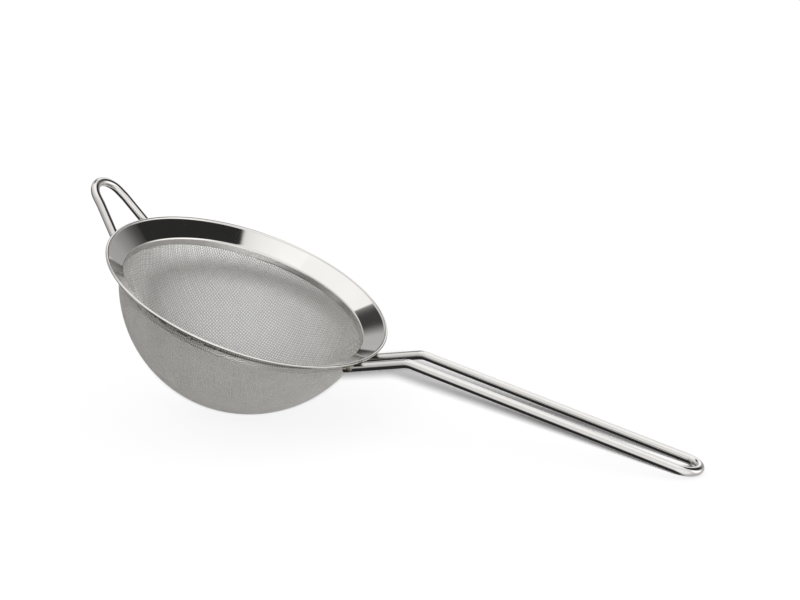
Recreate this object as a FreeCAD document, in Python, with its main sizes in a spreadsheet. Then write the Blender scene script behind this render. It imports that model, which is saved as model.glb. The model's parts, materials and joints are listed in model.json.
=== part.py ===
import FreeCAD, Part
import math
import os
import Sketcher

# A round hand sieve in stainless steel: a woven wire bowl in a flared sheet rim, a long handle bent
# from one wire and a short rest loop bent from another.
#
# Each piece is drawn in the sieve's own frame: the rim's axis is Z, the plane of its outer edge is
# Z = 0, the bowl hangs below it and the handle points along +X. Every piece is then leaned by the
# same angle, so that the bowl and the end of the handle both rest on the floor, Z = 0, as the sieve
# lies on a table. The origin is the point where the bowl touches the floor.

SIZES = {
    # rim, one ring of sheet steel
    "rim_radius": 80.0,  # outer edge, over the rolled bead
    "rim_drop": 8.1,  # from the outer edge down to the bend under the flare
    "bead_radius": 0.7,  # rolled outer edge
    "sheet": 0.8,  # thickness of the rim's steel
    "bend_radius": 1.0,  # outside of the bend between flare and collar
    "flare_width": 11.5,  # from the outer edge in to the outside of the upright collar
    "collar_height": 3.5,
    # wire cloth bowl, as a shell as thick as two crossing wires
    "bowl_depth": 68.2,  # from the rim's outer edge to the bottom of the bowl
    "cloth": 0.8,
    "cloth_gap": 0.05,  # between the collar and the cloth round it
    "cloth_depth": 0.35,  # cut edge of the cloth below the bend under the flare
    "cloth_overrun": 0.3,  # how far the upright edge of the cloth runs on below the collar
    # both bent wires
    "wire": 5.0,  # diameter
    "seat_gap": 0.05,  # between a wire and the bead it lies against
    "end_gap": 0.4,  # between the end of a wire and the cloth round the collar
    "weld_throat": 0.3,  # how far a weld stands out beside its wire
    "weld_half_length": 4.6,
    # handle
    "handle_gauge": 18.0,  # between the centres of its two legs
    "handle_splay": 0.0,  # how far each leg opens out towards the rim, in degrees
    "handle_neck": 23.5,  # from the rim's edge out to the kink
    "handle_reach": 160.0,  # from the kink out to the centre of the wire at the hand end
    "handle_rise": 8.0,  # slope of the grip against the rim, in degrees
    "handle_kink_radius": 12.0,
    # rest loop, on the side away from the handle
    "loop_gauge": 22.4,
    "loop_splay": 14.4,
    "loop_neck": 14.5,
    "loop_reach": 11.2,
    "loop_rise": 28.0,
    "loop_kink_radius": 7.0,
}

# What follows from the sizes, as spreadsheet formulas. Heights ("up") are above the rim's edge.
WORKED = {
    "bead_ring": "sizes.rim_radius - sizes.bead_radius",
    "bead_up": "-sizes.bead_radius",
    "bead_span": "sizes.flare_width - sizes.bead_radius",
    "bead_rise": "sizes.rim_drop - sizes.bead_radius",
    "flare": "atan2(bead_rise; bead_span) - asin(sizes.sheet / 2 / sqrt(bead_span^2 + bead_rise^2))",
    "flare_under_out": "bead_ring + sizes.sheet / 2 * sin(flare)",
    "flare_under_up": "bead_up - sizes.sheet / 2 * cos(flare)",
    "flare_top_out": "bead_ring - sizes.sheet / 2 * sin(flare)",
    "flare_top_up": "bead_up + sizes.sheet / 2 * cos(flare)",
    "collar_outside": "sizes.rim_radius - sizes.flare_width",
    "collar_inside": "collar_outside - sizes.sheet",
    "collar_top": "-sizes.rim_drop",
    "collar_foot": "collar_top - sizes.collar_height",
    "inside_corner_up": "collar_top - sizes.sheet * tan(flare) + sizes.sheet / cos(flare)",
    "cloth_inside": "collar_outside + sizes.cloth_gap",
    "cloth_outside": "cloth_inside + sizes.cloth",
    "cloth_top": "collar_top - sizes.cloth_depth",
    "cloth_foot": "collar_foot - sizes.cloth_overrun",
    "bowl_bottom": "-sizes.bowl_depth",
    "bowl_bottom_inside": "sizes.cloth - sizes.bowl_depth",
    "bowl_height": "sizes.bowl_depth + cloth_foot",
    "bowl_radius": "(cloth_outside^2 + bowl_height^2) / (2 * bowl_height)",
    "bowl_centre": "bowl_radius - sizes.bowl_depth",
    "bowl_inside": "bowl_radius - sizes.cloth",
    "bowl_inside_foot": "bowl_centre - sqrt(bowl_inside^2 - cloth_inside^2)",
    "seat": "sizes.bead_radius + sizes.wire / 2 + sizes.seat_gap",
    "weld_radius": "sizes.wire / 2 + sizes.weld_throat",
    "weld_lift": "seat - weld_radius",
}

# The same formulas for the handle and for the rest loop. NAME stands for one or the other. Each leg
# of a wire lies in an upright plane of its own, which crosses X = 0 at "foot_side", and "along" is
# measured from there in that plane. The leg seats against the rim's bead where it crosses it.
WORKED_FOR_A_WIRE = {
    "NAME_bend": "sizes.NAME_gauge / 2",
    "NAME_kink_out": "sizes.rim_radius + sizes.NAME_neck",
    "NAME_tip_out": "NAME_kink_out + sizes.NAME_reach",
    "NAME_bend_out": "NAME_tip_out - NAME_bend * cos(sizes.NAME_rise)",
    "NAME_turn": "atan(tan(sizes.NAME_splay) / cos(sizes.NAME_rise))",
    "NAME_end_out": "NAME_bend_out + NAME_bend * sin(sizes.NAME_splay) * cos(sizes.NAME_rise)",
    "NAME_end_side": "NAME_bend * cos(sizes.NAME_splay)",
    "NAME_foot_side": "NAME_end_side + NAME_end_out * tan(NAME_turn)",
    "NAME_neck_slope": "atan(tan(flare) * cos(NAME_turn))",
    "NAME_grip_slope": "atan(tan(sizes.NAME_rise) * cos(NAME_turn))",
    "NAME_offset": "NAME_foot_side * cos(NAME_turn)",
    "NAME_nearest": "NAME_foot_side * sin(NAME_turn)",
    "NAME_crossing": "asin(NAME_offset / bead_ring)",
    "NAME_bead_along": "NAME_nearest + bead_ring * cos(NAME_crossing)",
    "NAME_seat_drop": (
        "seat * sqrt(1 - (cos(NAME_neck_slope) * sin(NAME_crossing))^2)"
        " / (cos(NAME_neck_slope) * cos(NAME_crossing))"
    ),
    "NAME_bead_up": "bead_up - NAME_seat_drop",
    "NAME_start_along": (
        "NAME_nearest + sqrt((cloth_outside + sizes.end_gap)^2 - NAME_offset^2)"
        " + sizes.wire / 2 * (sin(NAME_neck_slope) + NAME_offset / cloth_outside)"
    ),
    "NAME_start_up": "NAME_bead_up - (NAME_bead_along - NAME_start_along) * tan(NAME_neck_slope)",
    "NAME_kink_along": "NAME_kink_out / cos(NAME_turn)",
    "NAME_kink_up": "NAME_bead_up + (NAME_kink_along - NAME_bead_along) * tan(NAME_neck_slope)",
    "NAME_end_along": "NAME_end_out / cos(NAME_turn)",
    "NAME_end_up": "NAME_kink_up + (NAME_end_along - NAME_kink_along) * tan(NAME_grip_slope)",
    "NAME_bend_up": "NAME_end_up - NAME_bend * sin(sizes.NAME_splay) * sin(sizes.NAME_rise)",
    "NAME_tip_up": "NAME_bend_up + NAME_bend * sin(sizes.NAME_rise)",
    "NAME_weld_along": "(NAME_start_along + NAME_bead_along) / 2",
    "NAME_weld_up": "(NAME_start_up + NAME_bead_up) / 2",
}

# The lean that brings the bottom of the bowl and the end of the handle to the same floor.
WORKED_LEAN = {
    "lean_drop": "bowl_radius - sizes.wire / 2",
    "lean_rise": "bowl_centre - handle_tip_up",
    "lean": (
        "asin(lean_drop / sqrt(handle_tip_out^2 + lean_rise^2)) - atan2(lean_rise; handle_tip_out)"
    ),
    "lift": "bowl_radius - bowl_centre * cos(lean)",
    "shift": "-bowl_centre * sin(lean)",
}

LEFT_AND_RIGHT = {"left": 1, "right": -1}
SKETCH_ORIGIN = (-1, 1)
UP_AXIS = -2
START, END, CENTRE = 1, 2, 3
CLOSE = 1e-4
VOLUME_TOLERANCE = 0.001


def write_sheet(doc, name, rows):
    """A spreadsheet with one row for each value: its name, and the value under that alias."""
    sheet = doc.addObject("Spreadsheet::Sheet", name)
    for row, (alias, content) in enumerate(rows.items(), start=1):
        sheet.set(f"A{row}", alias)
        sheet.set(f"B{row}", str(content))
        sheet.setAlias(f"B{row}", alias)
    doc.recompute()
    return sheet


def worked_rows():
    """Every derived value as a spreadsheet formula."""
    rows = dict(WORKED)
    for wire in ("handle", "loop"):
        for alias, formula in WORKED_FOR_A_WIRE.items():
            rows[alias.replace("NAME", wire)] = formula.replace("NAME", wire)
    rows.update(WORKED_LEAN)
    return {alias: "=" + formula for alias, formula in rows.items()}


def worked_value(doc, alias):
    """A derived value as a plain number, in millimetres or degrees."""
    value = doc.worked.get(alias)
    return getattr(value, "Value", value)


def new_body(doc, label):
    body = doc.addObject("PartDesign::Body", label)
    body.Label = label
    return body


def new_sketch(body, name, role):
    """A sketch on one of the body's own origin planes."""
    plane = next(p for p in body.Origin.OriginFeatures if p.Role == role)
    sketch = body.newObject("Sketcher::SketchObject", name)
    sketch.AttachmentSupport = [(plane, "")]
    sketch.MapMode = "FlatFace"
    return sketch


def drive(sketch, constraint, expression):
    """Adds a dimension to a sketch and binds it to an expression."""
    index = sketch.addConstraint(constraint)
    sketch.setExpression(f"Constraints[{index}]", expression)


def place_point(sketch, geometry, vertex, across, up):
    """Ties a point of the sketch to a worked distance across and up. None is the axis itself."""
    at = sketch.getPoint(geometry, vertex)
    if across is None:
        sketch.addConstraint(Sketcher.Constraint("PointOnObject", geometry, vertex, UP_AXIS))
    else:
        distance = Sketcher.Constraint("DistanceX", *SKETCH_ORIGIN, geometry, vertex, at.x)
        drive(sketch, distance, f"worked.{across}")
    distance = Sketcher.Constraint("DistanceY", *SKETCH_ORIGIN, geometry, vertex, at.y)
    drive(sketch, distance, f"worked.{up}")


def point_at(doc, across, up):
    """The point of a sketch at a worked distance across and up. None is the axis itself."""
    across_distance = 0 if across is None else worked_value(doc, across)
    return FreeCAD.Vector(across_distance, worked_value(doc, up), 0)


def draw_outline(sketch, corners):
    """A closed outline of straight lines whose corners are named worked distances across and up."""
    points = [point_at(sketch.Document, across, up) for across, up in corners]
    count = len(points)
    for index, point in enumerate(points):
        sketch.addGeometry(Part.LineSegment(point, points[(index + 1) % count]), False)
    for index in range(count):
        following = (index + 1) % count
        sketch.addConstraint(Sketcher.Constraint("Coincident", index, END, following, START))
    for index, (across, up) in enumerate(corners):
        place_point(sketch, index, START, across, up)


def revolve(body, sketch, name):
    """Turns a sketch once round the sieve's axis."""
    turned = body.newObject("PartDesign::Revolution", name)
    turned.Profile = sketch
    turned.ReferenceAxis = (sketch, ["V_Axis"])
    turned.Angle = 360.0
    sketch.Document.recompute()
    return turned


def round_edge(body, base, name, corner, fillet):
    """A fillet on the circular edges that pass through one corner of a turned shape's section."""
    rounded = []
    for number, edge in enumerate(base.Shape.Edges, start=1):
        if not isinstance(edge.Curve, Part.Circle):
            continue
        close_radius = abs(edge.Curve.Radius - corner.x) < CLOSE
        close_height = abs(edge.Curve.Center.z - corner.y) < CLOSE
        if close_radius and close_height:
            rounded.append(f"Edge{number}")
    feature = body.newObject("PartDesign::Fillet", name)
    feature.Base = (base, rounded)
    feature.setExpression("Radius", fillet)
    body.Document.recompute()
    return feature


def make_flared_rim(doc):
    """Flared sheet ring: a sloping flare, an upright collar inside it and a bead round the edge."""
    body = new_body(doc, "flared_rim")
    section = new_sketch(body, "rim_section", "XZ_Plane")
    corners = [
        ("collar_outside", "collar_foot"),
        ("collar_outside", "collar_top"),
        ("flare_under_out", "flare_under_up"),
        ("flare_top_out", "flare_top_up"),
        ("collar_inside", "inside_corner_up"),
        ("collar_inside", "collar_foot"),
    ]
    draw_outline(section, corners)
    sheet_ring = revolve(body, section, "rim_sheet")

    inside_corner = point_at(doc, "collar_inside", "inside_corner_up")
    inside_fillet = "sizes.bend_radius + sizes.sheet"
    inside_bend = round_edge(body, sheet_ring, "inside_bend", inside_corner, inside_fillet)
    outside_corner = point_at(doc, "collar_outside", "collar_top")
    round_edge(body, inside_bend, "outside_bend", outside_corner, "sizes.bend_radius")

    bead = new_sketch(body, "bead_section", "XZ_Plane")
    centre = point_at(doc, "bead_ring", "bead_up")
    bead_radius = doc.sizes.get("bead_radius")
    bead.addGeometry(Part.Circle(centre, FreeCAD.Vector(0, 0, 1), bead_radius), False)
    place_point(bead, 0, CENTRE, "bead_ring", "bead_up")
    drive(bead, Sketcher.Constraint("Radius", 0, bead_radius), "sizes.bead_radius")
    revolve(body, bead, "rolled_bead")
    return body


def make_wire_bowl(doc):
    """Wire cloth bowl: an upright edge round the collar, then one round dish to the bottom."""
    body = new_body(doc, "wire_bowl")
    section = new_sketch(body, "bowl_section", "XZ_Plane")
    centre = point_at(doc, None, "bowl_centre")

    def dish(lowest, rim_point):
        halfway = rim_point - centre + (lowest - centre)
        halfway.normalize()
        return Part.Arc(lowest, centre + halfway * (lowest - centre).Length, rim_point)

    top_outside = point_at(doc, "cloth_outside", "cloth_top")
    foot_outside = point_at(doc, "cloth_outside", "cloth_foot")
    low_outside = point_at(doc, None, "bowl_bottom")
    low_inside = point_at(doc, None, "bowl_bottom_inside")
    foot_inside = point_at(doc, "cloth_inside", "bowl_inside_foot")
    top_inside = point_at(doc, "cloth_inside", "cloth_top")
    edge_outside, dish_outside, bottom_step, dish_inside, edge_inside, edge_top = range(6)
    section.addGeometry(Part.LineSegment(top_outside, foot_outside), False)
    section.addGeometry(dish(low_outside, foot_outside), False)
    section.addGeometry(Part.LineSegment(low_outside, low_inside), False)
    section.addGeometry(dish(low_inside, foot_inside), False)
    section.addGeometry(Part.LineSegment(foot_inside, top_inside), False)
    section.addGeometry(Part.LineSegment(top_inside, top_outside), False)
    joints = [
        (edge_outside, END, dish_outside, END),
        (dish_outside, START, bottom_step, START),
        (bottom_step, END, dish_inside, START),
        (dish_inside, END, edge_inside, START),
        (edge_inside, END, edge_top, START),
        (edge_top, END, edge_outside, START),
    ]
    for joint in joints:
        section.addConstraint(Sketcher.Constraint("Coincident", *joint))
    place_point(section, edge_outside, START, "cloth_outside", "cloth_top")
    place_point(section, edge_outside, END, "cloth_outside", "cloth_foot")
    place_point(section, edge_inside, START, "cloth_inside", "bowl_inside_foot")
    place_point(section, edge_inside, END, "cloth_inside", "cloth_top")
    place_point(section, bottom_step, START, None, "bowl_bottom")
    place_point(section, bottom_step, END, None, "bowl_bottom_inside")
    for arc in (dish_outside, dish_inside):
        section.addConstraint(Sketcher.Constraint("PointOnObject", arc, CENTRE, UP_AXIS))
    revolve(body, section, "bowl_shell")
    return body


def bend_between(start, corner, end, radius):
    """Arc of a bend that joins two straight runs: its first, middle and last points."""
    back = (start - corner).normalize()
    onwards = (end - corner).normalize()
    half_angle = back.getAngle(onwards) / 2
    cut_back = radius / math.tan(half_angle)
    to_centre = (back + onwards).normalize()
    middle = corner + to_centre * (radius / math.sin(half_angle) - radius)
    return corner + back * cut_back, middle, corner + onwards * cut_back


def leg_route(doc, wire, mirror):
    """One leg from its end under the flare to the U-bend: straight neck, kink, straight grip."""
    turn = math.radians(worked_value(doc, f"{wire}_turn"))
    foot_side = worked_value(doc, f"{wire}_foot_side")

    def point(name):
        along = worked_value(doc, f"{wire}_{name}_along")
        side = mirror * (foot_side - along * math.sin(turn))
        return FreeCAD.Vector(along * math.cos(turn), side, worked_value(doc, f"{wire}_{name}_up"))

    start, corner, end = point("start"), point("kink"), point("end")
    kink = bend_between(start, corner, end, doc.sizes.get(f"{wire}_kink_radius"))
    return [
        Part.LineSegment(start, kink[0]),
        Part.Arc(*kink),
        Part.LineSegment(kink[2], end),
    ]


def make_bent_wire(doc, label, wire):
    """One wire bent double: two legs that rise along the flare, kink, and join in a U-bend.

    Its route turns in two planes, so no sketch holds it: the wire is swept along lines and arcs."""
    left = leg_route(doc, wire, LEFT_AND_RIGHT["left"])
    right = leg_route(doc, wire, LEFT_AND_RIGHT["right"])
    tip = FreeCAD.Vector(
        worked_value(doc, f"{wire}_tip_out"), 0, worked_value(doc, f"{wire}_tip_up")
    )
    u_bend = Part.Arc(left[-1].EndPoint, tip, right[-1].EndPoint)
    for run in right:
        run.reverse()
    route = Part.Wire([run.toShape() for run in [*left, u_bend, *reversed(right)]])

    start = left[0].StartPoint
    direction = left[0].EndPoint - start
    section = Part.Wire(Part.makeCircle(doc.sizes.get("wire") / 2, start, direction))
    bent_wire = doc.addObject("Part::Feature", label)
    bent_wire.Label = label
    bent_wire.Shape = route.makePipeShell([section], True, False)
    expected = math.pi * (doc.sizes.get("wire") / 2) ** 2 * route.Length
    if abs(bent_wire.Shape.Volume / expected - 1) > VOLUME_TOLERANCE:
        raise RuntimeError(f"{label} holds {bent_wire.Shape.Volume} mm3, not {expected}")
    return bent_wire


def leaned(doc):
    """Placement of a piece drawn in the sieve's own frame, as the sieve rests on the floor."""
    turn = FreeCAD.Rotation(FreeCAD.Vector(0, 1, 0), worked_value(doc, "lean"))
    shift = FreeCAD.Vector(worked_value(doc, "shift"), 0, worked_value(doc, "lift"))
    return FreeCAD.Placement(shift, turn)


def make_weld(doc, label, wire, mirror, rim, bent_wire, facing):
    """Weld bead between one leg of a wire and the underside of the flare."""
    bead = doc.addObject("Part::Ellipsoid", f"{label}_bead")
    bead.Angle1 = -90
    bead.Angle2 = 90
    bead.Angle3 = 360
    bead.setExpression("Radius1", "worked.weld_radius")
    bead.setExpression("Radius2", "sizes.weld_half_length")
    bead.setExpression("Radius3", "worked.weld_radius")

    across = FreeCAD.Vector(0, mirror * worked_value(doc, f"{wire}_foot_side"), 0)
    turn = FreeCAD.Rotation(FreeCAD.Vector(0, 0, 1), -mirror * worked_value(doc, f"{wire}_turn"))
    leg_plane = FreeCAD.Placement(across, turn)
    middle = FreeCAD.Vector(
        worked_value(doc, f"{wire}_weld_along"), 0, worked_value(doc, f"{wire}_weld_up")
    )
    slope = FreeCAD.Rotation(FreeCAD.Vector(0, 1, 0), -worked_value(doc, f"{wire}_neck_slope"))
    along_leg = FreeCAD.Placement(middle, slope)
    towards_flare = FreeCAD.Vector(0, 0, worked_value(doc, "weld_lift"))
    lifted = FreeCAD.Placement(towards_flare, FreeCAD.Rotation())
    bead.Placement = facing * leg_plane * along_leg * lifted

    clear_of_rim = doc.addObject("Part::Cut", f"{label}_under_rim")
    clear_of_rim.Base = bead
    clear_of_rim.Tool = rim
    weld = doc.addObject("Part::Cut", label)
    weld.Base = clear_of_rim
    weld.Tool = bent_wire
    weld.Label = label
    return weld


def check_document(doc, pieces):
    """Stops if any object failed to compute or any piece has no valid solid."""
    for item in doc.Objects:
        if "Invalid" in item.State or "Error" in item.State:
            raise RuntimeError(f"{item.Label} did not compute: {item.State}")
    for piece in pieces:
        if piece.Shape.isNull() or not piece.Shape.isValid() or not piece.Shape.Solids:
            raise RuntimeError(f"{piece.Label} has no valid solid")


def build():
    doc = FreeCAD.newDocument("hand_sieve")
    write_sheet(doc, "sizes", SIZES)
    write_sheet(doc, "worked", worked_rows())

    rim = make_flared_rim(doc)
    bowl = make_wire_bowl(doc)
    handle = make_bent_wire(doc, "handle_wire", "handle")
    rest_loop = make_bent_wire(doc, "rest_loop_wire", "loop")

    towards_handle = leaned(doc)
    half_turn = FreeCAD.Rotation(FreeCAD.Vector(0, 0, 1), 180)
    away_from_handle = towards_handle * FreeCAD.Placement(FreeCAD.Vector(), half_turn)
    for piece in (rim, bowl, handle):
        piece.Placement = towards_handle
    rest_loop.Placement = away_from_handle

    welds = []
    for side, mirror in LEFT_AND_RIGHT.items():
        handle_weld = f"handle_weld_{side}"
        welds.append(make_weld(doc, handle_weld, "handle", mirror, rim, handle, towards_handle))
        loop_weld = f"loop_weld_{side}"
        welds.append(make_weld(doc, loop_weld, "loop", -mirror, rim, rest_loop, away_from_handle))
    doc.recompute()

    pieces = [rim, bowl, handle, rest_loop, *welds]
    check_document(doc, pieces)
    os.makedirs("parts", exist_ok=True)
    for piece in pieces:
        piece.Shape.exportStep(f"parts/{piece.Label}.step")
        box = piece.Shape.BoundBox
        print(
            f"{piece.Label}: {len(piece.Shape.Solids)} solid, {piece.Shape.Volume:.0f} mm3, "
            f"X {box.XMin:.1f} to {box.XMax:.1f}, Z {box.ZMin:.2f} to {box.ZMax:.1f}"
        )


build()
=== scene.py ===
# %% [markdown]
# # A hand sieve in stainless steel
#
# A woven wire bowl hangs in a flared sheet rim. A long handle, bent from one wire, is welded under
# the rim on one side, and a short wire loop on the other side rests on the edge of a pot or tub.
# The sieve lies on its round bowl and on the end of its handle, so its rim leans.
#
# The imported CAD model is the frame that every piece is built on, so it is loaded first.

# %% Load the frame and keep its box
import json
import math

import bpy
import numpy as np
from mathutils import Matrix, Quaternion, Vector


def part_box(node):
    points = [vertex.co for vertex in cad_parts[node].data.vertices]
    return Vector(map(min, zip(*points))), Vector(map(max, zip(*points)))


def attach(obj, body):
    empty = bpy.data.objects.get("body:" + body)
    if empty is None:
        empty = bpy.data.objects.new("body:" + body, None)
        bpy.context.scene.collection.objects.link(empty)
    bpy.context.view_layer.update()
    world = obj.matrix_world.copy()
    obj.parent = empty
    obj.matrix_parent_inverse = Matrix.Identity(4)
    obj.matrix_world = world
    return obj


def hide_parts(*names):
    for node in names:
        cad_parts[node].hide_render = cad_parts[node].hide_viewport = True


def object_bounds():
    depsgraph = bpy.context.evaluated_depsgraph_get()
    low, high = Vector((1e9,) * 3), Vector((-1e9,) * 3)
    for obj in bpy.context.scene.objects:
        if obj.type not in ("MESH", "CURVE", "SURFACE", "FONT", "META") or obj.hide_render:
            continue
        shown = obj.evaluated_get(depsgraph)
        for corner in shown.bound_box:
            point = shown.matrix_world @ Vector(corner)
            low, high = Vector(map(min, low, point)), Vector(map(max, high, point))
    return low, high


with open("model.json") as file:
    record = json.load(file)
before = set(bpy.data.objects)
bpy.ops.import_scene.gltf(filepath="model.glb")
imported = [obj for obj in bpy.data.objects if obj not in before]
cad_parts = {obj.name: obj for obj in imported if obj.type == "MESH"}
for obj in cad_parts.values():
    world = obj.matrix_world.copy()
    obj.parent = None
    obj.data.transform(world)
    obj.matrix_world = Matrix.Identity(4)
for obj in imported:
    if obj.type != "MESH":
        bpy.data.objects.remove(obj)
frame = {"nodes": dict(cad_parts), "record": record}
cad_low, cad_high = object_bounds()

MM = 0.001
print("CAD box in mm:", [round(x / MM, 1) for x in (*cad_low, *cad_high)])

# %% [markdown]
# ## The sieve's own axes
#
# A turned piece is easiest to draw about its own axis: distances out from the axis, and heights
# above the plane of the rim's outer edge. The record's mount "mouth" says where that plane's centre
# is and which way the axis points as the sieve lies on the floor. One matrix then takes any point
# from the sieve's own axes, in millimetres, to the floor's axes, in metres.

# %% From the sieve's own axes to the floor
mounts = {mount["name"]: mount for mount in frame["record"]["mounts"]}
axis = Vector(mounts["mouth"]["axis"]).normalized()
side = Vector((0, 1, 0))
forward = side.cross(axis).normalized()
TURN = np.array(Matrix((forward, side, axis)).transposed())
LEAN = math.atan2(axis.x, axis.z)
RIM_CENTRE = Vector(mounts["mouth"]["pos_m"])


def on_the_floor(points):
    """Points in the sieve's own axes, in millimetres, as points over the floor, in metres."""
    return np.asarray(points, float) @ TURN.T * MM + np.array(RIM_CENTRE)


print("the rim leans by", round(math.degrees(LEAN), 2), "degrees")

# %% [markdown]
# ## Sizes
#
# The rim is one ring of 0.8 mm sheet: an upright collar, a slope that flares out of it, and a
# rolled bead round the edge. These are the sizes that the CAD was drawn from. The rim's radius is
# read from the frame. The last lines work out from the others how high the middle of the rim lies,
# and print it beside the frame's own height, so a change of the CAD's bowl shows here at once.

# %% Sizes of the real pieces, in millimetres
RIM_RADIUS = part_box("flared_rim")[1].y / MM
RIM_DROP = 8.1
FLARE_WIDTH = 11.5
SHEET = 0.8
BEAD = 0.7
BEND = 1.0
COLLAR_HEIGHT = 3.5
BOWL_DEPTH = 68.2
CLOTH = 0.8
CLOTH_WIRE = CLOTH / 2
CLOTH_DEPTH = 0.35
CLOTH_OVERRUN = 0.3
GAP = 0.05
WIRE = 5.0

bead_ring = RIM_RADIUS - BEAD
collar_outside = RIM_RADIUS - FLARE_WIDTH
collar_inside = collar_outside - SHEET
collar_foot = -RIM_DROP - COLLAR_HEIGHT
span, rise = FLARE_WIDTH - BEAD, RIM_DROP - BEAD
FLARE = math.atan2(rise, span) - math.asin(SHEET / 2 / math.hypot(span, rise))
cloth_outside = collar_outside + GAP + CLOTH
cloth_top = -RIM_DROP - CLOTH_DEPTH
cloth_foot = collar_foot - CLOTH_OVERRUN
bowl_height = BOWL_DEPTH + cloth_foot
bowl_radius = (cloth_outside**2 + bowl_height**2) / (2 * bowl_height)
bowl_centre = bowl_radius - BOWL_DEPTH
print("rim", round(2 * RIM_RADIUS, 2), "mm across, flare", round(math.degrees(FLARE), 2), "degrees")
print("bowl radius", round(bowl_radius, 2), "mm")
rim_height = bowl_radius - bowl_centre * math.cos(LEAN)
print("rim's middle:", round(rim_height, 2), "mm up, in the frame", round(RIM_CENTRE.z / MM, 2), "mm")

# %% [markdown]
# ## From numbers to a piece
#
# Every piece here is a mesh built from lists of points and faces. A piece rides on the CAD body
# "root", because nothing on a sieve moves, and the CAD node that it stands for is hidden. The CAD
# nodes are right in shape but have flat facets a few millimetres long, and polished steel shows each
# facet as a break in its reflections. So the polished pieces are built again, far finer.

# %% A helper that makes a piece
BODY = "root"


def make_piece(name, points, faces, material, stands_for, lengths=None):
    """A smooth mesh on the sieve. lengths gives how far along and round each point is, in metres."""
    mesh = bpy.data.meshes.new(name)
    mesh.from_pydata([tuple(point) for point in points], [], [tuple(face) for face in faces])
    mesh.polygons.foreach_set("use_smooth", [True] * len(mesh.polygons))
    if lengths is not None:
        spread = mesh.uv_layers.new(name="length_and_girth")
        corner_points = np.zeros(len(mesh.loops), np.int32)
        mesh.loops.foreach_get("vertex_index", corner_points)
        spread.data.foreach_set("uv", np.asarray(lengths, np.float32)[corner_points].ravel())
    mesh.materials.append(material)
    piece = bpy.data.objects.new(name, mesh)
    bpy.context.scene.collection.objects.link(piece)
    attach(piece, BODY)
    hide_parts(stands_for)
    print(name, "has", len(mesh.vertices), "points and", len(mesh.polygons), "faces")


# %% [markdown]
# ## Colours and nodes
#
# Colours are written as sRGB hex, as a colour picker shows them, and one function turns them into
# the linear values that the shader works in. Materials are node trees, and one small function adds
# a node, sets it up and links it in the same line.
#
# The scale of a noise is in grains to the metre, so it is worked out from the size of one grain in
# millimetres. A noise mostly lies between 0.3 and 0.7, so a Map Range node stretches that part of
# it over the values wanted.

# %% Helpers for colours and nodes
NOISE_RANGE = {"From Min": 0.3, "From Max": 0.7}
# The numbers of a Mix node's sockets: it has some with the same name for other kinds of value.
COLOUR_A, COLOUR_B, MIXED_COLOUR = 6, 7, 2
VECTOR_A, VECTOR_B, MIXED_VECTOR = 4, 5, 1


def linear(hex_colour):
    """An sRGB hex colour as linear red, green, blue and alpha."""
    shown = [int(hex_colour[start : start + 2], 16) / 255 for start in (1, 3, 5)]
    return (*(c / 12.92 if c <= 0.04045 else ((c + 0.055) / 1.055) ** 2.4 for c in shown), 1.0)


def per_metre(size_mm):
    """How many grains of this size, in millimetres, lie in a metre."""
    return 1 / (size_mm * MM)


def add_node(tree, kind, settings=None, inputs=None):
    """One node with its settings. An input is a value, or a socket to link from."""
    node = tree.nodes.new(kind)
    for name, value in (settings or {}).items():
        setattr(node, name, value)
    for name, value in (inputs or {}).items():
        if isinstance(value, bpy.types.NodeSocket):
            tree.links.new(value, node.inputs[name])
        else:
            node.inputs[name].default_value = value
    return node


def new_finish(name):
    """An empty material and its tree, with a metal Principled shader joined to the output."""
    material = bpy.data.materials.new(name)
    material.use_nodes = True
    tree = material.node_tree
    tree.nodes.clear()
    shader = add_node(tree, "ShaderNodeBsdfPrincipled", inputs={"Metallic": 1.0})
    add_node(tree, "ShaderNodeOutputMaterial", inputs={"Surface": shader.outputs["BSDF"]})
    return material, tree, shader


def dress(shader, colour, roughness, normal):
    """Links the three things that a metal's finish is made of to its shader."""
    links = shader.id_data.links
    links.new(colour, shader.inputs["Base Color"])
    links.new(roughness, shader.inputs["Roughness"])
    links.new(normal, shader.inputs["Normal"])


# %% [markdown]
# ## Spun and buffed stainless sheet: the rim
#
# The rim is stainless steel sheet of the 18/8 kind, spun to shape and buffed to a mirror on a mop.
# The eye sees clean reflections of the room. What gives it away as metal, and not as a perfect
# mirror, is a haze of very fine buffing lines that run round the axis, and a few wider soft bands
# where the mop stayed longer. The lines are drawn about 0.25 mm apart, coarser than the real ones,
# which are too fine to show.
#
# A line that runs round the axis is a noise that changes only with the distance from the axis, so
# the coordinates are turned into the sieve's own axes and only that distance and the height are
# kept.

# %% Finish of the rim
BUFFING_LINE = 0.25
BUFFING_DEPTH = 0.002
MOP_MARK = 16.7


def ring_vector(tree):
    """A point in the sieve's own axes, and its distance from the axis with its height, in metres."""
    where = add_node(tree, "ShaderNodeTexCoord").outputs["Object"]
    own = add_node(
        tree,
        "ShaderNodeMapping",
        {"vector_type": "TEXTURE"},
        {"Vector": where, "Location": RIM_CENTRE, "Rotation": (0, LEAN, 0)},
    ).outputs["Vector"]
    parts = add_node(tree, "ShaderNodeSeparateXYZ", inputs={"Vector": own}).outputs
    flat = add_node(tree, "ShaderNodeCombineXYZ", inputs={"X": parts["X"], "Y": parts["Y"]})
    out = add_node(
        tree, "ShaderNodeVectorMath", {"operation": "LENGTH"}, {0: flat.outputs["Vector"]}
    )
    line = {"X": out.outputs["Value"], "Y": parts["Z"]}
    return own, add_node(tree, "ShaderNodeCombineXYZ", inputs=line).outputs["Vector"]


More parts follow.
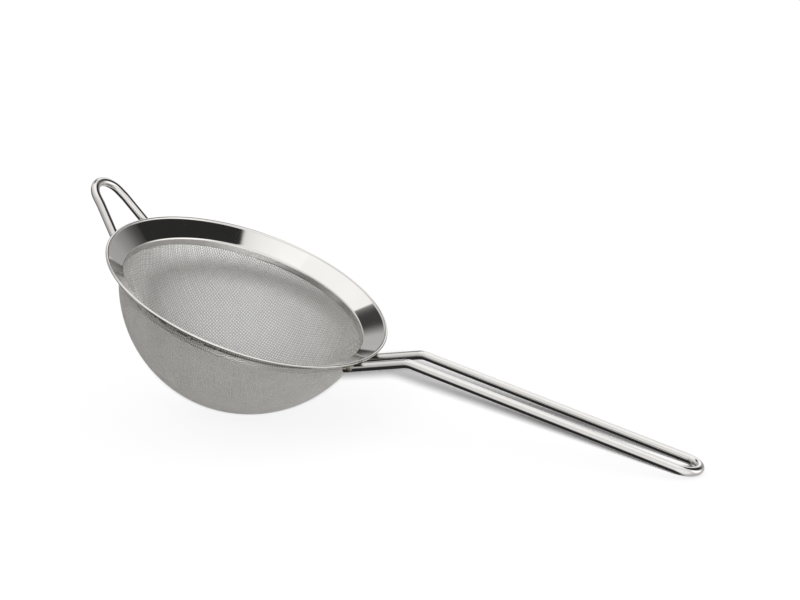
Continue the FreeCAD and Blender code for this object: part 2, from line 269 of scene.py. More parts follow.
buffed_sheet, tree, shader = new_finish("buffed_stainless_sheet")
own, rings = ring_vector(tree)
lines = add_node(
    tree,
    "ShaderNodeTexNoise",
    inputs={"Vector": rings, "Scale": per_metre(BUFFING_LINE), "Detail": 3.0},
).outputs["Fac"]
mop_marks = add_node(
    tree,
    "ShaderNodeTexNoise",
    inputs={"Vector": own, "Scale": per_metre(MOP_MARK), "Detail": 4.0},
).outputs["Fac"]
steel = add_node(
    tree,
    "ShaderNodeMix",
    {"data_type": "RGBA"},
    {"Factor": mop_marks, COLOUR_A: linear("#cbc9c6"), COLOUR_B: linear("#d6d4d1")},
).outputs[MIXED_COLOUR]
line_haze = add_node(
    tree,
    "ShaderNodeMapRange",
    inputs={"Value": lines, "To Min": 0.02, "To Max": 0.05, **NOISE_RANGE},
).outputs["Result"]
mop_haze = add_node(
    tree,
    "ShaderNodeMapRange",
    inputs={"Value": mop_marks, "To Min": 0.0, "To Max": 0.04, **NOISE_RANGE},
).outputs["Result"]
haze = add_node(
    tree, "ShaderNodeMath", {"operation": "ADD"}, {0: line_haze, 1: mop_haze}
).outputs["Value"]
scratches = add_node(
    tree, "ShaderNodeBump", inputs={"Height": lines, "Distance": BUFFING_DEPTH * MM}
).outputs["Normal"]
dress(shader, steel, haze, scratches)
print("finish:", buffed_sheet.name)

# %% [markdown]
# ## The rim
#
# On the real sieve the rim starts as a flat ring of sheet. A lathe spins it over a former, which
# turns its inner part down into the collar, and its outer edge is rolled into a bead so that no
# sharp edge is left. In Blender a revolved profile is the same idea: one closed outline of the
# sheet's section, turned round the axis. A torus and cones would leave the bends out, and the bends
# carry the bright lines that show where the sheet turns.

# %% A helper that turns a profile round the axis
AROUND = 384


def arc(centre, radius, first, last, steps):
    """Points on an arc, with angles in degrees."""
    angles = np.radians(np.linspace(first, last, steps + 1))
    return [(centre[0] + radius * math.cos(a), centre[1] + radius * math.sin(a)) for a in angles]


def turned(profile, count=AROUND):
    """A closed outline of (out, up) points in millimetres, turned once round the sieve's axis."""
    profile = np.array(profile)
    angles = np.arange(count) * 2 * math.pi / count
    out, up = profile[:, 0], profile[:, 1]
    points = np.stack(
        [
            np.outer(np.cos(angles), out),
            np.outer(np.sin(angles), out),
            np.broadcast_to(up, (count, len(up))),
        ],
        axis=-1,
    ).reshape(-1, 3)
    size = len(profile)
    faces = []
    for step in range(count):
        here, there = step * size, (step + 1) % count * size
        for k in range(size):
            following = (k + 1) % size
            faces.append((here + k, there + k, there + following, here + following))
    return on_the_floor(points), faces


def subdivided(points, longest):
    """The same outline with no run longer than this, in millimetres, for smooth shading."""
    result = []
    for index, start in enumerate(points):
        end = points[(index + 1) % len(points)]
        steps = max(1, math.ceil(math.dist(start, end) / longest))
        for step in range(steps):
            share = step / steps
            result.append(tuple(a + (b - a) * share for a, b in zip(start, end, strict=True)))
    return result


# %% The rim's section, and the rim
EDGE = 0.12
LONGEST_RUN = 0.9
bend_at = (collar_outside + BEND, -RIM_DROP - BEND * (1 - math.sin(FLARE)) / math.cos(FLARE))
bead_at = (bead_ring, -BEAD)
flare_deg = math.degrees(FLARE)
bead_opening = math.degrees(math.acos(-math.sqrt(BEAD**2 - (SHEET / 2) ** 2) / BEAD))
# The last number of each arc is how many steps it is drawn in.
rim_section = [
    *arc((collar_inside + EDGE, collar_foot + EDGE), EDGE, 270, 180, 3),
    *arc(bend_at, BEND + SHEET, 180, 90 + flare_deg, 12),
    *arc(bead_at, BEAD, flare_deg + bead_opening, flare_deg - bead_opening, 28),
    *arc(bend_at, BEND, 90 + flare_deg, 180, 8),
    *arc((collar_outside - EDGE, collar_foot + EDGE), EDGE, 0, -90, 3),
]
points, faces = turned(subdivided(rim_section, LONGEST_RUN))
make_piece("rim", points, faces, buffed_sheet, "flared_rim")

# %% [markdown]
# ## Drawn and polished stainless wire: the handle and the rest loop
#
# The handle and the loop are 5 mm round stainless wire. Wire is made by pulling a rod through
# smaller and smaller dies, which leaves faint lines along it, and polishing softens them. The eye
# sees a bright line along the top, a dark band below it, and small wobbles in both.
#
# Each wire mesh carries how far along and how far round every point is, so the lines can follow the
# bends. They are drawn about 0.3 mm apart, coarser than the real ones, and fifty times as long.

# %% Finish of the bent wires
DIE_LINE = 0.286
DIE_LINE_DEPTH = 0.003
DIE_LINE_STRETCH = 50
WOBBLE = 11.1
WOBBLE_DEPTH = 0.06
RUBBED_SPOT = 2.5

polished_wire, tree, shader = new_finish("drawn_and_polished_stainless_wire")
spread = add_node(tree, "ShaderNodeUVMap", {"uv_map": "length_and_girth"}).outputs["UV"]
drawn = add_node(
    tree,
    "ShaderNodeMapping",
    inputs={"Vector": spread, "Scale": (1 / DIE_LINE_STRETCH, 1.0, 1.0)},
).outputs["Vector"]
lines = add_node(
    tree,
    "ShaderNodeTexNoise",
    inputs={"Vector": drawn, "Scale": per_metre(DIE_LINE), "Detail": 3.0},
).outputs["Fac"]
where = add_node(tree, "ShaderNodeTexCoord").outputs["Object"]
wobble = add_node(
    tree,
    "ShaderNodeTexNoise",
    inputs={"Vector": where, "Scale": per_metre(WOBBLE), "Detail": 2.0},
).outputs["Fac"]
rubbed = add_node(
    tree,
    "ShaderNodeTexNoise",
    inputs={"Vector": where, "Scale": per_metre(RUBBED_SPOT), "Detail": 4.0},
).outputs["Fac"]
steel = add_node(
    tree,
    "ShaderNodeMix",
    {"data_type": "RGBA"},
    {"Factor": rubbed, COLOUR_A: linear("#c9c7c4"), COLOUR_B: linear("#d6d4d2")},
).outputs[MIXED_COLOUR]
line_haze = add_node(
    tree,
    "ShaderNodeMapRange",
    inputs={"Value": lines, "To Min": 0.05, "To Max": 0.11, **NOISE_RANGE},
).outputs["Result"]
rubbed_haze = add_node(
    tree,
    "ShaderNodeMapRange",
    inputs={"Value": rubbed, "To Min": 0.0, "To Max": 0.05, **NOISE_RANGE},
).outputs["Result"]
haze = add_node(
    tree, "ShaderNodeMath", {"operation": "ADD"}, {0: line_haze, 1: rubbed_haze}
).outputs["Value"]
soft = add_node(
    tree, "ShaderNodeBump", inputs={"Height": wobble, "Distance": WOBBLE_DEPTH * MM}
).outputs["Normal"]
fine = add_node(
    tree,
    "ShaderNodeBump",
    inputs={"Height": lines, "Distance": DIE_LINE_DEPTH * MM, "Normal": soft},
).outputs["Normal"]
dress(shader, steel, haze, fine)
print("finish:", polished_wire.name)

# %% [markdown]
# ## The route of a bent wire
#
# Both wires are bent in the same way: two legs lie under the flare, slope up along it, kink where
# they leave the rim, and join in a U-bend. A bender works from the U-bend back: how wide it is, how
# far the legs open out, how far from the rim they kink and how steeply the grip rises. Those are
# the sizes here too. The legs then follow from where the wire just clears the bead.

# %% Where the legs run
SEAT = BEAD + WIRE / 2 + GAP
END_GAP = 0.4
CORNER_STEPS = 12
TURN_STEPS = 48
HANDLE = {"gauge": 18.0, "splay": 0.0, "neck": 23.5, "reach": 160.0, "rise": 8.0, "kink": 12.0}
LOOP = {"gauge": 22.4, "splay": 14.4, "neck": 14.5, "reach": 11.2, "rise": 28.0, "kink": 7.0}


def leg_points(wire):
    """A wire's left leg from its end under the flare, over the kink, to the start of its U-bend."""
    splay, rise = math.radians(wire["splay"]), math.radians(wire["rise"])
    bend = wire["gauge"] / 2
    kink_out = RIM_RADIUS + wire["neck"]
    bend_out = kink_out + wire["reach"] - bend * math.cos(rise)
    opening = math.atan(math.tan(splay) / math.cos(rise))
    end_out = bend_out + bend * math.sin(splay) * math.cos(rise)
    foot_side = bend * math.cos(splay) + end_out * math.tan(opening)
    neck_slope = math.tan(FLARE) * math.cos(opening)
    grip_slope = math.tan(rise) * math.cos(opening)
    offset, nearest = foot_side * math.cos(opening), foot_side * math.sin(opening)
    crossing = math.asin(offset / bead_ring)
    neck_cosine = math.cos(math.atan(neck_slope))
    drop = SEAT * math.sqrt(1 - (neck_cosine * math.sin(crossing)) ** 2)
    drop /= neck_cosine * math.cos(crossing)
    bead_along = nearest + bead_ring * math.cos(crossing)
    end_of_wire = nearest + math.sqrt((cloth_outside + END_GAP) ** 2 - offset**2)
    end_of_wire += WIRE / 2 * (math.sin(math.atan(neck_slope)) + offset / cloth_outside)
    kink_along, bend_along = kink_out / math.cos(opening), end_out / math.cos(opening)
    up_at_kink = -BEAD - drop + (kink_along - bead_along) * neck_slope
    ups = {
        end_of_wire: up_at_kink - (kink_along - end_of_wire) * neck_slope,
        kink_along: up_at_kink,
        bend_along: up_at_kink + (bend_along - kink_along) * grip_slope,
    }
    return [
        Vector((along * math.cos(opening), foot_side - along * math.sin(opening), up))
        for along, up in ups.items()
    ]


def rounded_corner(before, corner, after, radius, steps):
    """Points of the bend that joins two straight runs."""
    back, onward = (before - corner).normalized(), (after - corner).normalized()
    half = back.angle(onward) / 2
    middle = corner + (back + onward).normalized() * (radius / math.sin(half))
    first = corner + back * (radius / math.tan(half)) - middle
    last = corner + onward * (radius / math.tan(half)) - middle
    first, last = first.normalized(), last.normalized()
    return [middle + first.slerp(last, step / steps) * radius for step in range(steps + 1)]


def wire_route(wire):
    """The centre line of a bent wire, as points in the sieve's own axes."""
    end, kink, bend_start = leg_points(wire)
    leg = [end, *rounded_corner(end, kink, bend_start, wire["kink"], CORNER_STEPS), bend_start]
    rise, splay = math.radians(wire["rise"]), math.radians(wire["splay"])
    bend = wire["gauge"] / 2
    onward = Vector((math.cos(rise), 0, math.sin(rise)))
    middle = bend_start - onward * (bend * math.sin(splay)) - Vector((0, bend * math.cos(splay), 0))
    turns = np.linspace(math.pi / 2 - splay, splay - math.pi / 2, TURN_STEPS + 1)[1:-1]
    u_bend = [middle + bend * (onward * math.cos(a) + Vector((0, math.sin(a), 0))) for a in turns]
    other = [Vector((point.x, -point.y, point.z)) for point in reversed(leg)]
    return [*leg, *u_bend, *other]


handle_route, loop_route = wire_route(HANDLE), wire_route(LOOP)
for name, route in (("handle", handle_route), ("loop", loop_route)):
    print(name, "wire", round(sum((b - a).length for a, b in zip(route, route[1:]))), "mm long")

# %% [markdown]
# ## A tube along a route
#
# A curve with a round bevel would do, but its ends would be flat discs. Built as a mesh, the wire
# gets what a cut and tumbled end has, a small round edge, and it can carry its lengths. The frame
# of each ring of points is the last one turned by no more than the route turns, so the tube never
# twists.

# %% A helper that sweeps a round wire
SIDES = 40
END_STEPS = 5
RING_SPACING = 1.5


def swept(route, radius, end_round):
    """Points and faces of a round wire along a route, in millimetres, and lengths in metres."""
    path = [route[0]]
    for start, end in zip(route, route[1:]):
        steps = max(1, math.ceil((end - start).length / RING_SPACING))
        path.extend(start.lerp(end, step / steps) for step in range(1, steps + 1))
    tangents = []
    for index in range(len(path)):
        before, after = path[max(index - 1, 0)], path[min(index + 1, len(path) - 1)]
        tangents.append((after - before).normalized())
    sections = []
    for angle in np.linspace(0, math.pi / 2, END_STEPS + 1)[:-1]:
        shrink = end_round * (1 - math.sin(angle))
        sections.append((path[0] + tangents[0] * end_round * (1 - math.cos(angle)), 0, shrink))
    sections.extend((path[index], index, 0.0) for index in range(1, len(path) - 1))
    for angle in np.linspace(math.pi / 2, 0, END_STEPS + 1)[1:]:
        shrink = end_round * (1 - math.sin(angle))
        back = tangents[-1] * end_round * (1 - math.cos(angle))
        sections.append((path[-1] - back, len(path) - 1, shrink))

    across = tangents[0].cross(Vector((0, 0, 1))).normalized()
    travelled, points, lengths, last = 0.0, [], [], sections[0][0]
    for centre, index, shrink in sections:
        tangent = tangents[index]
        across = (across - tangent * across.dot(tangent)).normalized()
        beside = tangent.cross(across)
        travelled += (centre - last).length
        last = centre
        for k in range(SIDES):
            angle = 2 * math.pi * k / SIDES
            reach = radius - shrink
            points.append(centre + (across * math.cos(angle) + beside * math.sin(angle)) * reach)
            lengths.append((travelled * MM, angle * radius * MM))
    faces = []
    for section in range(len(sections) - 1):
        here, there = section * SIDES, (section + 1) * SIDES
        for k in range(SIDES):
            following = (k + 1) % SIDES
            faces.append((here + k, here + following, there + following, there + k))
    faces.append(tuple(reversed(range(SIDES))))
    faces.append(tuple(range(len(points) - SIDES, len(points))))
    return points, faces, lengths


# %% The handle and the rest loop
END_ROUND = 0.5
for name, route, node, mirror in (
    ("handle", handle_route, "handle_wire", 1),
    ("rest_loop", loop_route, "rest_loop_wire", -1),
):
    points, faces, lengths = swept(route, WIRE / 2, END_ROUND)
    points = on_the_floor([(mirror * p.x, mirror * p.y, p.z) for p in points])
    make_piece(name, points, faces, polished_wire, node, lengths)

# %% [markdown]
# ## Bright drawn wire: the woven cloth
#
# The bowl is plain woven wire cloth: 0.4 mm stainless wires at 1.5 mm spacing, each going over one
# crossing wire and under the next. It comes bright from the loom and isn't polished afterwards, so
# it is far duller than the rim, and its wires are a little lighter and darker from place to place.

# %% Finish of the cloth's wires
CLOTH_PATCH = 8.33
WIRE_MARK = 0.667
WIRE_MARK_DEPTH = 0.01

bright_wire, tree, shader = new_finish("bright_drawn_stainless_wire")
where = add_node(tree, "ShaderNodeTexCoord").outputs["Object"]
patches = add_node(
    tree,
    "ShaderNodeTexNoise",
    inputs={"Vector": where, "Scale": per_metre(CLOTH_PATCH), "Detail": 3.0},
).outputs["Fac"]
marks = add_node(
    tree,
    "ShaderNodeTexNoise",
    inputs={"Vector": where, "Scale": per_metre(WIRE_MARK), "Detail": 2.0},
).outputs["Fac"]
steel = add_node(
    tree,
    "ShaderNodeMix",
    {"data_type": "RGBA"},
    {"Factor": marks, COLOUR_A: linear("#c0bebb"), COLOUR_B: linear("#dedcd9")},
).outputs[MIXED_COLOUR]
haze = add_node(
    tree,
    "ShaderNodeMapRange",
    inputs={"Value": patches, "To Min": 0.68, "To Max": 0.8, **NOISE_RANGE},
).outputs["Result"]
bumps = add_node(
    tree, "ShaderNodeBump", inputs={"Height": marks, "Distance": WIRE_MARK_DEPTH * MM}
).outputs["Normal"]
dress(shader, steel, haze, bumps)
print("finish:", bright_wire.name)

# %% [markdown]
# ## Drawing the flat cloth into a bowl
#
# A press pushes a flat disc of cloth over a dome. The wires can bend and slide at their crossings,
# but they hardly stretch, so the square meshes along the two wire directions stay square, and the
# meshes between them lean over into diamonds. An image of a weave wrapped on a sphere would miss
# this, so the cloth is drawn here the same way as in the press: it starts as a flat net of
# crossings laid on the bowl, and then every length of wire between two crossings is pulled back to
# its true length, again and again, while each crossing stays on the bowl. A second rule stops the
# diamonds from closing further than real meshes can.

# %% Lay the net of crossings on the bowl
PITCH = 1.5
bowl_mid = bowl_radius - CLOTH / 2
collar_mid = cloth_outside - CLOTH / 2
foot_angle = math.acos((bowl_centre - cloth_foot) / bowl_mid)
dish_length = bowl_mid * foot_angle
whole_length = dish_length + cloth_top - cloth_foot
half_count = math.ceil(whole_length / PITCH) + 1
steps = np.arange(-half_count, half_count + 1) * PITCH
flat_x, flat_y = np.meshgrid(steps, steps, indexing="ij")
flat_out = np.hypot(flat_x, flat_y)
in_cloth = flat_out <= whole_length + PITCH
direction = np.stack([flat_x, flat_y], -1) / np.maximum(flat_out, 1e-9)[..., None]
dish_out = bowl_mid * np.sin(np.minimum(flat_out, dish_length) / bowl_mid)
dish_up = bowl_centre - bowl_mid * np.cos(np.minimum(flat_out, dish_length) / bowl_mid)
net = np.concatenate(
    [direction * dish_out[..., None], (dish_up + np.maximum(flat_out - dish_length, 0))[..., None]],
    axis=-1,
)
print("crossings:", int(in_cloth.sum()), "over", round(whole_length, 1), "mm from middle to edge")

# %% Pull every length of wire back to its true length
CENTRE = np.array((0, 0, bowl_centre))
ROUNDS = 120
NARROWEST = 55


def back_on_the_bowl(points):
    """Each crossing moved to the nearest point of the bowl or of its upright edge."""
    away = points - CENTRE
    on_dish = CENTRE + away * (bowl_mid / np.linalg.norm(away, axis=-1))[..., None]
    on_edge = points.copy()
    on_edge[..., :2] *= (collar_mid / np.maximum(np.hypot(*points[..., :2].T).T, 1e-9))[..., None]
    upright_part = (on_dish[..., 2] > cloth_foot)[..., None]
    return np.where(upright_part, on_edge, on_dish)


def pull(points, first, second, start, shortest, longest):
    """Moves every second pair of neighbours so that each pair is as far apart as it may be."""
    one, two = points[first][start], points[second][start]
    both = (in_cloth[first][start] & in_cloth[second][start])[..., None]
    apart = two - one
    distance = np.maximum(np.linalg.norm(apart, axis=-1, keepdims=True), 1e-9)
    wanted = np.clip(distance, shortest, longest)
    move = np.where(both, apart * (0.5 * (1 - wanted / distance)), 0.0)
    one += move
    two -= move


ALL, FRONT, BACK = slice(None), slice(None, -1), slice(1, None)
WIRE_PAIRS = [((FRONT, ALL), (BACK, ALL), 0), ((ALL, FRONT), (ALL, BACK), 1)]
MESH_PAIRS = [((FRONT, FRONT), (BACK, BACK), 0), ((FRONT, BACK), (BACK, FRONT), 0)]
closest = 2 * PITCH * math.sin(math.radians(NARROWEST) / 2)
for _ in range(ROUNDS):
    for first, second, along in WIRE_PAIRS:
        for offset in (0, 1):
            every = (slice(offset, None, 2), ALL) if along == 0 else (ALL, slice(offset, None, 2))
            pull(net, first, second, every, PITCH, PITCH)
    for first, second, along in MESH_PAIRS:
        for offset in (0, 1):
            pull(net, first, second, (slice(offset, None, 2), ALL), closest, 4 * PITCH)
    net = back_on_the_bowl(net)

meshes = np.linalg.norm(net[1:] - net[:-1], axis=-1)[in_cloth[1:] & in_cloth[:-1]]
shortest, middle, longest = np.percentile(meshes, (1, 50, 99)).round(2)
print("wire between two crossings:", shortest, "to", longest, "mm, mostly", middle, "mm")

# %% [markdown]
# ## Weave the wires
#
# One set of wires runs one way and one set the other. At each crossing one wire is pushed out by
# half its thickness and the other in, and which one goes out alternates, as in the board of a
# chess game. A six-sided tube with one ring of points at each crossing is enough for a wire that is
# 0.4 mm thick, and it keeps each set well under 200,000 triangles. Each wire ends at the cut edge
# of the cloth, just under the bend of the flare.

# %% The two sets of wires
WIRE_SIDES = 6


def outward(points):
    """Direction straight out of the cloth at each crossing."""
    normal = points - CENTRE
    normal[points[..., 2] > cloth_foot, 2] = 0
    return normal / np.linalg.norm(normal, axis=-1, keepdims=True)


def cut_at_edge(line):
    """The part of a wire's centre line that lies under the cloth's top edge."""
    below = np.flatnonzero(line[:, 2] <= cloth_top)
    if len(below) < 2:
        return None
    first, last = below[0], below[-1]
    kept = list(line[first : last + 1])
    if first > 0 and line[first - 1, 2] > cloth_top:
        share = (cloth_top - kept[0][2]) / (line[first - 1, 2] - kept[0][2])
        kept.insert(0, kept[0] + (line[first - 1] - kept[0]) * share)
    if last < len(line) - 1 and line[last + 1, 2] > cloth_top:
        share = (cloth_top - kept[-1][2]) / (line[last + 1, 2] - kept[-1][2])
        kept.append(kept[-1] + (line[last + 1] - kept[-1]) * share)
    return np.array(kept)


def weave(crossings, inside, sign):
    """Points and faces of one set of wires. Each row of crossings is one wire."""
    over = np.indices(inside.shape).sum(0) % 2 * 2 - 1
    lifted = crossings + outward(crossings.copy()) * (over * sign * CLOTH_WIRE / 2)[..., None]
    angles = np.arange(WIRE_SIDES) * 2 * math.pi / WIRE_SIDES
    points, faces, used = [], [], 0
    for number in range(len(lifted)):
        line = cut_at_edge(lifted[number][inside[number]])
        if line is None:
            continue
        tangent = np.gradient(line, axis=0)
        tangent /= np.linalg.norm(tangent, axis=-1, keepdims=True)
        across = np.cross(tangent, outward(line.copy()))
        across /= np.linalg.norm(across, axis=-1, keepdims=True)
        up = np.cross(across, tangent)
        ring = up[:, None] * np.cos(angles)[:, None] + across[:, None] * np.sin(angles)[:, None]
        points.append((line[:, None] + ring * CLOTH_WIRE / 2).reshape(-1, 3))
        starts = used + np.arange(len(line) - 1)[:, None] * WIRE_SIDES
        here, following = np.arange(WIRE_SIDES), (np.arange(WIRE_SIDES) + 1) % WIRE_SIDES
        quads = [starts + here, starts + following]
        quads += [starts + following + WIRE_SIDES, starts + here + WIRE_SIDES]
        faces.extend(np.stack(quads, -1).reshape(-1, 4).tolist())
        first_ring = list(range(used, used + WIRE_SIDES))
        used += len(line) * WIRE_SIDES
        last_ring = list(range(used - WIRE_SIDES, used))
        faces += [last_ring, first_ring[::-1]]
    return np.concatenate(points), faces


for name, crossings, inside, sign in (
    ("cloth_warp", net, in_cloth, 1),
    ("cloth_weft", net.transpose(1, 0, 2), in_cloth.T, -1),
):
    points, faces = weave(crossings, inside, sign)
    make_piece(name, on_the_floor(points), faces, bright_wire, "wire_bowl")

# %% [markdown]
# ## Ground welds
#
# Four short weld beads hold the wires under the flare. A welder lays each as a row of overlapping
# drops, and a quick pass with a wheel leaves it satin, with a trace of straw colour where the steel
# got hot. Their CAD shapes are right, so the CAD nodes stay, and only their finish changes.

# %% Finish of the welds
HEAT_STAIN = 2.86
WELD_DROP = 1.12
WELD_DROP_DEPTH = 0.08
# A wave texture of scale 1 has twenty radians of wave to the metre.
WAVES = 2 * math.pi / 20

ground_weld, tree, shader = new_finish("ground_stainless_weld")
where = add_node(tree, "ShaderNodeTexCoord").outputs["Object"]
heat = add_node(
    tree,
    "ShaderNodeTexNoise",
    inputs={"Vector": where, "Scale": per_metre(HEAT_STAIN), "Detail": 2.0},
).outputs["Fac"]
drops = add_node(
    tree,
    "ShaderNodeTexWave",
    {"bands_direction": "X"},
    {"Vector": where, "Scale": WAVES * per_metre(WELD_DROP), "Distortion": 3.0},
).outputs["Fac"]
stained = add_node(
    tree,
    "ShaderNodeMix",
    {"data_type": "RGBA"},
    {"Factor": heat, COLOUR_A: linear("#8f8676"), COLOUR_B: linear("#b5b0a8")},
).outputs[MIXED_COLOUR]
haze = add_node(
    tree,
    "ShaderNodeMapRange",
    inputs={"Value": heat, "To Min": 0.3, "To Max": 0.5, **NOISE_RANGE},
).outputs["Result"]
ripple = add_node(
    tree, "ShaderNodeBump", inputs={"Height": drops, "Distance": WELD_DROP_DEPTH * MM}
).outputs["Normal"]
dress(shader, stained, haze, ripple)
for name, node in frame["nodes"].items():
    if "weld" in name:
        node.material_slots[0].link = "OBJECT"
        node.material_slots[0].material = ground_weld
        print("finish:", ground_weld.name, "on", name)

# %% [markdown]
# ## The studio
#
# Polished steel has hardly any colour of its own: what it shows is the room. So the room matters as
# much as the finish. The sieve lies on a white table before a white backdrop. Above it hangs a
# bright diffuser, the room gets darker towards the horizon, and dark cards behind, beside and below
# the sieve give the steel its dark bands.
#
# All of that is drawn into the world. Its brightness changes with the height of the direction, and
# each card is a round patch of directions with a soft or a sharp edge, laid over the ones before
# it. Only the steel sees this room. The camera sees the white backdrop, and the table gets a weak
# even light, so the cards cast no shade on it. A ray that left the table and then met the steel
# finds no room there, because the steel would otherwise light the table around it.

# %% The table
REACH = 30.0
floor_z = cad_low.z
corners = [(-REACH, -REACH), (REACH, -REACH), (REACH, REACH), (-REACH, REACH)]
table_mesh = bpy.data.meshes.new("table")
table_mesh.from_pydata([(x, y, floor_z) for x, y in corners], [], [(0, 1, 2, 3)])
table = bpy.data.objects.new("table", table_mesh)
bpy.context.scene.collection.objects.link(table)
table_paint = bpy.data.materials.new("matt_white_board")
table_paint.use_nodes = True
board = table_paint.node_tree.nodes["Principled BSDF"]
board.inputs["Base Color"].default_value = linear("#f4f4f4")
board.inputs["Roughness"].default_value = 0.9
board.inputs["Specular IOR Level"].default_value = 0.0
table_mesh.materials.append(table_paint)
table.visible_glossy = False
print("table at height", round(floor_z / MM, 3), "mm")

# %% The world and the brightness of the room
BACKDROP = 1.2
FILL = 0.22
# Brightness by height: -1 is straight down, 0 is the horizon and 1 is straight up.
ROOM = {
    -1.0: 0.7,
    -0.35: 0.7,
    -0.1: 0.62,
    0.17: 0.6,
    0.5: 0.93,
    0.8: 1.12,
    0.9: 1.25,
    0.97: 1.45,
    1.0: 1.5,
}
world = bpy.data.worlds.new("studio")
bpy.context.scene.world = world
world.use_nodes = True
world.cycles.sampling_method = "NONE"
tree = world.node_tree
tree.nodes.clear()
looking = add_node(tree, "ShaderNodeTexCoord").outputs["Generated"]
height = add_node(tree, "ShaderNodeSeparateXYZ", inputs={"Vector": looking}).outputs["Z"]
place = add_node(
    tree, "ShaderNodeMapRange", inputs={"Value": height, "From Min": -1.0, "From Max": 1.0}
).outputs["Result"]
ramp = add_node(tree, "ShaderNodeValToRGB", inputs={"Fac": place})
stops = ramp.color_ramp.elements
while len(stops) > 1:
    stops.remove(stops[-1])
brightest = max(ROOM.values())
for number, (up, brightness) in enumerate(ROOM.items()):
    stop = stops[0] if number == 0 else stops.new((up + 1) / 2)
    stop.position = (up + 1) / 2
    stop.color = (*[brightness / brightest] * 3, 1)
room = add_node(
    tree,
    "ShaderNodeVectorMath",
    {"operation": "SCALE"},
    {0: ramp.outputs["Color"], "Scale": brightest},
).outputs["Vector"]
print("room brightness from", min(ROOM.values()), "to", brightest)

# %% The cards
# Each has an azimuth, an elevation, a radius and a soft edge in degrees, and a brightness.
CARDS = {
    "pale board in front": (26, -4, 24, 38, 1.32),
    "lamp on the right": (110, 12, 12, 30, 1.8),
    "grey board behind": (-168, 8, 18, 14, 0.5),
    "dark card on the left": (-95, -5, 16, 10, 0.15),
    "grey board behind, to the left": (-147, 20, 12, 10, 0.62),
    "black card below, in front": (-45, -45, 22, 24, 0.03),
    "black card below, on the left": (-110, -58, 18, 12, 0.03),
    "low lamp behind": (-163, -4, 9, 5, 1.4),
    "high lamp behind": (-168, 32, 10, 8, 1.4),
    "soft shade beside the black card": (140, 35, 4, 36, 0.04),
    "black card behind, to the right": (131, 44, 23.5, 1.5, 0.035),
    "black card behind, to the left": (-133, 46, 2, 15, 0.07),
    "edge of the diffuser": (-118, 75, 18.5, 1.5, 1.42),
}


def compass(azimuth, elevation):
    """A direction from the sieve: azimuth 0 is towards -Y and 90 towards +X, in degrees."""
    a, e = math.radians(azimuth), math.radians(elevation)
    return (math.sin(a) * math.cos(e), -math.cos(a) * math.cos(e), math.sin(e))


for azimuth, elevation, radius, edge, brightness in CARDS.values():
    towards = add_node(
        tree,
        "ShaderNodeVectorMath",
        {"operation": "DOT_PRODUCT"},
        {0: looking, 1: compass(azimuth, elevation)},
    ).outputs["Value"]
    inside = add_node(
        tree,
        "ShaderNodeMapRange",
        {"interpolation_type": "SMOOTHSTEP"},
        {
            "Value": towards,
            "From Min": math.cos(math.radians(radius + edge)),
            "From Max": math.cos(math.radians(radius)),
        },
    ).outputs["Result"]
    room = add_node(
        tree,
        "ShaderNodeMix",
        {"data_type": "VECTOR"},
        {"Factor": inside, VECTOR_A: room, VECTOR_B: (brightness,) * 3},
    ).outputs[MIXED_VECTOR]
print("cards:", len(CARDS))

# %% Who sees what
WHITE, BLACK = linear("#ffffff"), linear("#000000")
ray = add_node(tree, "ShaderNodeLightPath").outputs
backdrop = add_node(
    tree, "ShaderNodeBackground", inputs={"Color": WHITE, "Strength": BACKDROP}
).outputs["Background"]
weak_light = add_node(
    tree, "ShaderNodeBackground", inputs={"Color": WHITE, "Strength": FILL}
).outputs["Background"]
whole_room = add_node(tree, "ShaderNodeBackground", inputs={"Color": room}).outputs["Background"]
no_room = add_node(tree, "ShaderNodeBackground", inputs={"Color": BLACK}).outputs["Background"]
for_others = add_node(
    tree, "ShaderNodeMixShader", inputs={0: ray["Is Camera Ray"], 1: weak_light, 2: backdrop}
).outputs["Shader"]
from_the_table = add_node(
    tree, "ShaderNodeMath", {"operation": "MINIMUM"}, {0: ray["Diffuse Depth"], 1: 1.0}
).outputs["Value"]
for_steel = add_node(
    tree, "ShaderNodeMixShader", inputs={0: from_the_table, 1: whole_room, 2: no_room}
).outputs["Shader"]
seen = add_node(
    tree, "ShaderNodeMixShader", inputs={0: ray["Is Glossy Ray"], 1: for_others, 2: for_steel}
).outputs["Shader"]
add_node(tree, "ShaderNodeOutputWorld", inputs={"Surface": seen})
print("the world has", len(tree.nodes), "nodes")

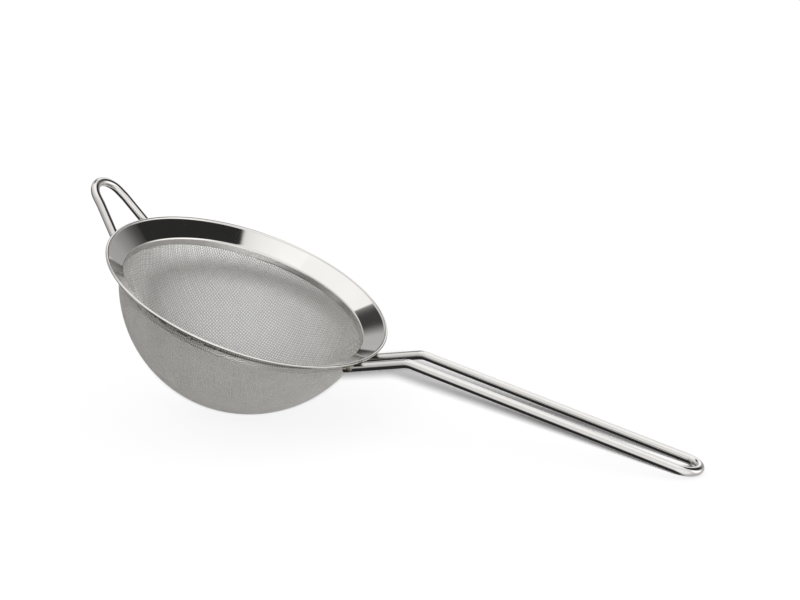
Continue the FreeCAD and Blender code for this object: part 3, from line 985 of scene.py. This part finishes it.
# %% [markdown]
# ## The main light
#
# A softbox stands low in front of the sieve, a little to the right of the camera. So the sieve's
# shadow lies behind it, and what the camera sees of it is a narrow soft edge under the wires. A sun
# with a wide disc gives the same shadow as a softbox far away, and lights the whole table evenly.

# %% The main light
LIGHT_AZIMUTH, LIGHT_ELEVATION = 30, 17.8
LIGHT_WIDTH = 4.5
LIGHT_STRENGTH = 9.45
centre = (cad_low + cad_high) / 2
light_from = Vector(compass(LIGHT_AZIMUTH, LIGHT_ELEVATION))
main_light = bpy.data.lights.new("front_softbox", "SUN")
main_light.angle = math.radians(LIGHT_WIDTH)
main_light.energy = LIGHT_STRENGTH
softbox = bpy.data.objects.new("front_softbox", main_light)
softbox.location = centre + light_from
softbox.rotation_euler = light_from.to_track_quat("Z", "Y").to_euler()
softbox.visible_glossy = False
bpy.context.scene.collection.objects.link(softbox)
print("softbox at", [round(x, 2) for x in softbox.location], "m")

# %% [markdown]
# ## The camera
#
# A portrait lens from a little over a metre away keeps the perspective calm. The camera looks down
# by 15 degrees from the front right, at a point just beside and above the middle of the sieve. Its
# head isn't quite level: it is turned by a quarter of a degree.

# %% The camera
AZIMUTH, ELEVATION = 26.0, 14.9
DISTANCE = 1.155
FOCAL_LENGTH = 98.4
BESIDE, ABOVE = 0.0086, 0.0098
ROLL = -0.25
back = Vector(compass(AZIMUTH, ELEVATION))
right = Vector(compass(AZIMUTH + 90, 0))
aim = centre + right * BESIDE + back.cross(right) * ABOVE
head_turn = Quaternion((0, 0, 1), math.radians(ROLL))
camera_data = bpy.data.cameras.new("camera")
camera_data.lens = FOCAL_LENGTH
camera_data.clip_start, camera_data.clip_end = 0.05, 100.0
camera = bpy.data.objects.new("camera", camera_data)
camera.location = aim + back * DISTANCE
camera.rotation_euler = (back.to_track_quat("Z", "Y") @ head_turn).to_euler()
bpy.context.scene.collection.objects.link(camera)
bpy.context.scene.camera = camera
bpy.context.scene.view_settings.view_transform = "Standard"
bpy.context.scene.view_settings.look = "None"
print("camera at", [round(x, 3) for x in camera.location], "m")
